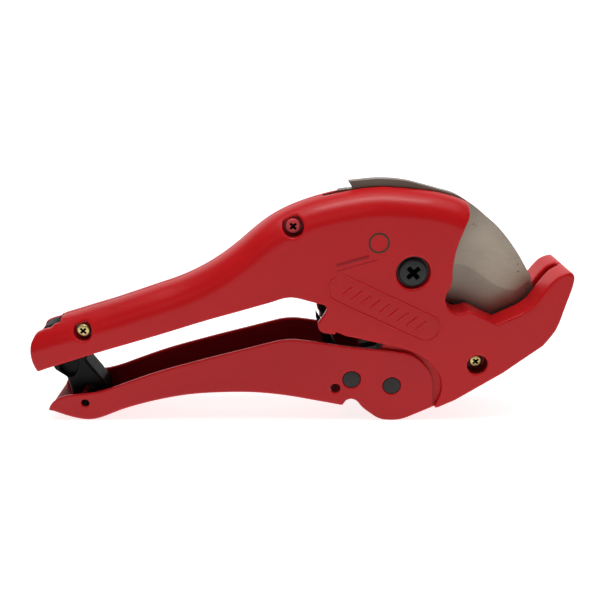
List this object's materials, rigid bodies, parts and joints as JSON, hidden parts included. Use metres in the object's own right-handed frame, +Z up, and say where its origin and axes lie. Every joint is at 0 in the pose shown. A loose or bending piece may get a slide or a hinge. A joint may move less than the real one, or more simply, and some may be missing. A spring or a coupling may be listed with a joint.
{
  "type": "pipe cutter",
  "caption": "Ratcheting plastic-pipe cutter with a swinging fan blade, a V-shaped jaw in a cast housing, a sheet-metal lower handle and a thumb latch.",
  "frame": {"origin": "centre of the bounding box at its base, under the tool as it stands on its lower handle", "axes": "+X from the handle ends towards the jaw, +Y through the tool from the screw-head side, +Z up"},
  "size_m": [0.226, 0.026, 0.1047],
  "materials": {
    "housing_paint": "red satin paint on die-cast aluminium",
    "handle_paint": "red satin paint on bent sheet steel",
    "blade_steel": "satin ground steel",
    "black_steel": "black oxide",
    "rivet_steel": "dark steel, satin",
    "plain_steel": "turned steel",
    "pawl_steel": "black oxide",
    "zinc_yellow": "yellow zinc plating",
    "painted_screw": "red paint",
    "latch_plastic": "moulded black plastic",
    "spring_steel": "spring wire"
  },
  "bodies": {
    "housing": {"near_housing": "housing_paint", "far_housing": "housing_paint", "blade_pivot_screw": "black_steel", "blade_pivot_bushing": "plain_steel", "blade_pivot_washer": "black_steel", "blade_pivot_nut": "black_steel", "blade_shim_near": "plain_steel", "blade_shim_far": "plain_steel", "handle_end_screw": "zinc_yellow", "shoulder_screw": "painted_screw", "jaw_screw": "zinc_yellow", "handle_pivot_bushing": "plain_steel", "holding_pawl_spring": "spring_steel", "handle_return_spring": "spring_steel"},
    "blade_body": {"blade": "blade_steel"},
    "handle_body": {"lower_handle": "handle_paint", "handle_pivot_rivet": "rivet_steel", "pawl_rivet": "rivet_steel", "pawl_spacer_near": "plain_steel", "pawl_spacer_far": "plain_steel", "catch_pin": "rivet_steel", "drive_pawl_spring": "spring_steel"},
    "drive_pawl_body": {"drive_pawl": "pawl_steel"},
    "holding_pawl_body": {"holding_pawl": "pawl_steel"},
    "latch_body": {"latch": "latch_plastic"}
  },
  "joints": [
    {"name": "handle_swing", "type": "hinge", "parent": "housing", "child": "handle_body", "pos_m": [0.04095, 0, 0.0172], "axis": [0, -1, 0], "range_deg": [0, 35], "deforming": ["handle_return_spring"]},
    {"name": "blade_swing", "type": "hinge", "parent": "housing", "child": "blade_body", "pos_m": [0.04735, 0, 0.0685], "axis": [0, -1, 0], "range_deg": [0, 75]},
    {"name": "drive_pawl_swing", "type": "hinge", "parent": "handle_body", "child": "drive_pawl_body", "pos_m": [0.02355, 0, 0.0202], "axis": [0, -1, 0], "range_deg": [-46, 1], "deforming": ["drive_pawl_spring"]},
    {"name": "holding_pawl_swing", "type": "hinge", "parent": "housing", "child": "holding_pawl_body", "pos_m": [-0.00135, 0, 0.0873], "axis": [0, 1, 0], "range_deg": [0, 4.5], "stiffness_Nm_per_rad": 0.02, "deforming": ["holding_pawl_spring"]},
    {"name": "latch_swing", "type": "hinge", "parent": "housing", "child": "latch_body", "pos_m": [-0.08995, 0, 0.0421], "axis": [0, -1, 0], "range_deg": [-4, 4.5]}
  ],
  "couplings": [
    {"joint": "drive_pawl_swing", "follows": "handle_swing", "ratio": -1.27}
  ]
}
